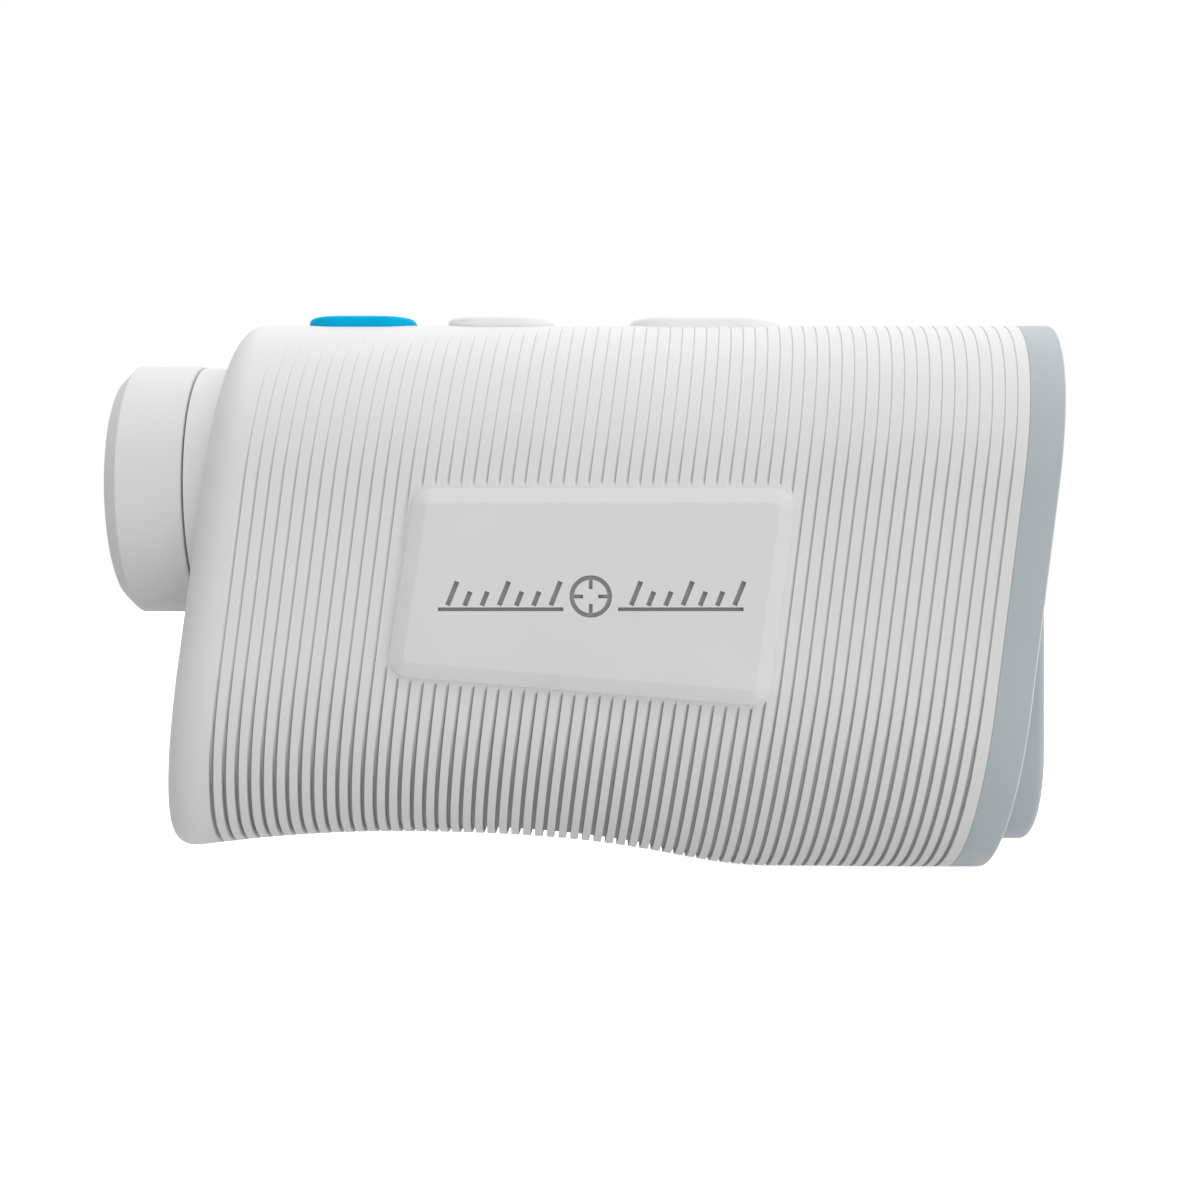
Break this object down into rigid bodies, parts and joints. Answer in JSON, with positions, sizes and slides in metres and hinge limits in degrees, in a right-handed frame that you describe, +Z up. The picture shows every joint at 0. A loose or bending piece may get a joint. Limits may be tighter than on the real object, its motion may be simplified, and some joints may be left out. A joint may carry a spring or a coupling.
{
  "type": "handheld laser rangefinder",
  "caption": "Handheld monocular laser rangefinder with ribbed pill-section casing, turning eyecup, top push buttons, slope slide switch and screw battery cap.",
  "frame": {"origin": "centre of the footprint at the casing's lowest line, in the middle plane between the two casing halves", "axes": "+X forward along the sighting direction, from the eyecup to the lenses; +Z up, through the buttons; -Y is the side with the right plate"},
  "size_m": [0.1135, 0.0434, 0.0678],
  "materials": {
    "casing_white": "matte, fine moulded texture",
    "plate_grey": "satin",
    "bezel_grey": "satin",
    "fire_blue": "satin",
    "eyecup_white": "soft-touch matte",
    "lens_glass": "coated",
    "receiver_glass": "red band-pass coating",
    "black_metal": "black anodised",
    "chassis_plastic": "matte",
    "prism_glass": "polished",
    "circuit_board": "solder mask",
    "chip_black": "moulded epoxy",
    "switch_metal": "stamped",
    "contact_gold": "plated",
    "seal_silicone": "matte",
    "flex_film": "polyimide film",
    "magnet_metal": "nickel plated",
    "battery_wrap": "shrink sleeve",
    "battery_case": "matte",
    "screw_steel": "plated"
  },
  "bodies": {
    "housing": {"right_shell": "casing_white", "left_shell": "casing_white", "front_bezel": "bezel_grey", "lens_housing": "bezel_grey", "right_plate": "plate_grey", "left_plate": "plate_grey", "slope_surround": "casing_white", "eyepiece_barrel": "casing_white", "guide_pin": "screw_steel", "objective_lens": "lens_glass", "objective_ring": "black_metal", "receiver_lens": "receiver_glass", "receiver_ring": "black_metal", "optics_chassis": "chassis_plastic", "roof_prism": "prism_glass", "reticle_display": "lens_glass", "laser_diode": "contact_gold", "detector_board": "circuit_board", "detector_can": "switch_metal", "main_board": "circuit_board", "board_parts": "chip_black", "button_board": "circuit_board", "tact_switches": "switch_metal", "slope_switch_can": "switch_metal", "button_seal": "seal_silicone", "flex_cable": "flex_film", "vibration_motor": "switch_metal", "cart_magnet": "magnet_metal", "battery": "battery_wrap", "battery_tube": "battery_case", "front_contact": "contact_gold", "case_screws": "screw_steel", "chassis_screws": "screw_steel"},
    "fire_button": {"fire_button": "fire_blue", "fire_plunger": "contact_gold"},
    "mode_button": {"mode_button": "casing_white", "mode_plunger": "contact_gold"},
    "slope_switch": {"slope_slider": "plate_grey", "switch_lever": "chip_black"},
    "ocular": {"ocular_cell": "chassis_plastic", "eye_lens": "lens_glass", "field_lens": "lens_glass", "ocular_lock_ring": "black_metal"},
    "dioptre_ring": {"dioptre_sleeve": "black_metal", "eyecup": "eyecup_white"},
    "cap_core": {"cap_contact": "contact_gold", "cap_spring": "screw_steel"},
    "battery_cap": {"battery_cap": "casing_white", "cap_seal": "seal_silicone"}
  },
  "joints": [
    {"name": "fire_press", "type": "slide", "parent": "housing", "child": "fire_button", "axis": [0, 0, -1], "range_m": [0, 0.0008], "stiffness_N_per_m": 1500},
    {"name": "mode_press", "type": "slide", "parent": "housing", "child": "mode_button", "axis": [0, 0, -1], "range_m": [0, 0.0008], "stiffness_N_per_m": 1500},
    {"name": "slope_slide", "type": "slide", "parent": "housing", "child": "slope_switch", "axis": [1, 0, 0], "range_m": [0, 0.004]},
    {"name": "ocular_travel", "type": "slide", "parent": "housing", "child": "ocular", "axis": [-1, 0, 0], "range_m": [0, 0.002]},
    {"name": "dioptre_turn", "type": "hinge", "parent": "ocular", "child": "dioptre_ring", "pos_m": [-0.0512, 0, 0.0468], "axis": [-1, 0, 0], "range_deg": [0, 240]},
    {"name": "cap_travel", "type": "slide", "parent": "housing", "child": "cap_core", "axis": [-0.9921, 0, 0.1255], "range_m": [0, 0.003]},
    {"name": "cap_turn", "type": "hinge", "parent": "cap_core", "child": "battery_cap", "pos_m": [-0.04803, 0, 0.0203], "axis": [-0.9921, 0, 0.1255], "range_deg": [0, 540]}
  ],
  "couplings": [
    {"joint": "dioptre_turn", "follows": "ocular_travel", "rad_per_m": 2094},
    {"joint": "cap_turn", "follows": "cap_travel", "rad_per_m": 3141}
  ]
}
